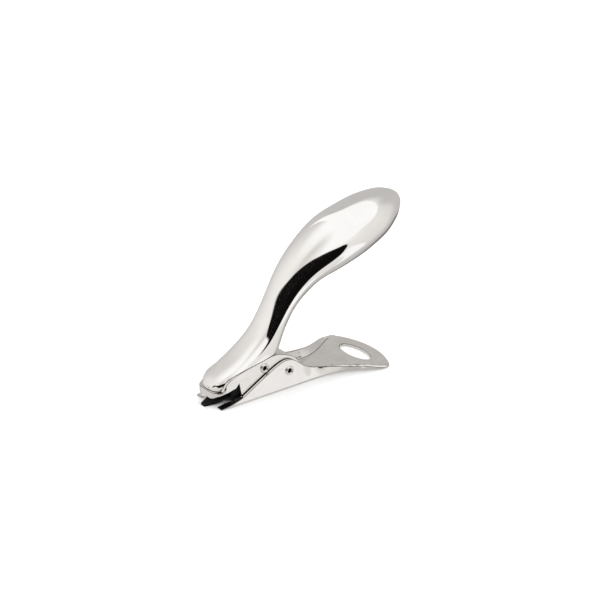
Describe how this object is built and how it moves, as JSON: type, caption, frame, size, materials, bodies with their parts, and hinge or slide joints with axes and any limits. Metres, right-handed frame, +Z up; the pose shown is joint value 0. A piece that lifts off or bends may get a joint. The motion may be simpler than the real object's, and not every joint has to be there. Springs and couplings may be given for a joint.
{
  "type": "staple remover",
  "caption": "Lever staple remover: forked sheet-steel base lever, hinged jaw frame with a black lifting tongue, and a polished pear-shaped cast handle.",
  "frame": {"origin": "on the resting face, straight below the main pivot, on the plane of symmetry", "axes": "+X from the tines to the tail, +Y along the main pivot, +Z up"},
  "size_m": [0.1256, 0.0482, 0.0902],
  "materials": {
    "plated_sheet": "bright chrome plate on pressed sheet steel",
    "plated_rivet": "bright chrome plate",
    "bare_steel": "zinc-plated, satin",
    "spring_steel": "drawn spring steel",
    "polished_casting": "mirror-polished chrome plate on a light alloy casting",
    "black_steel": "hardened steel, black oxide"
  },
  "bodies": {
    "base": {"base_lever": "plated_sheet", "main_pivot_rivet": "plated_rivet", "pivot_sleeve": "bare_steel", "pivot_washers": "bare_steel", "return_spring": "spring_steel"},
    "handle": {"handle_grip": "polished_casting", "jaw_frame": "plated_sheet", "lifting_tongue": "black_steel", "jaw_rivet": "plated_rivet", "jaw_spacer": "bare_steel", "lock_washers": "spring_steel", "frame_screws": "bare_steel"}
  },
  "joints": [
    {"name": "handle_pivot", "type": "hinge", "parent": "base", "child": "handle", "pos_m": [0, 0, 0.0102], "axis": [0, 1, 0], "range_deg": [0, 20], "stiffness_Nm_per_rad": 0.5, "springref_deg": -28.65, "deforming": ["return_spring"]}
  ]
}
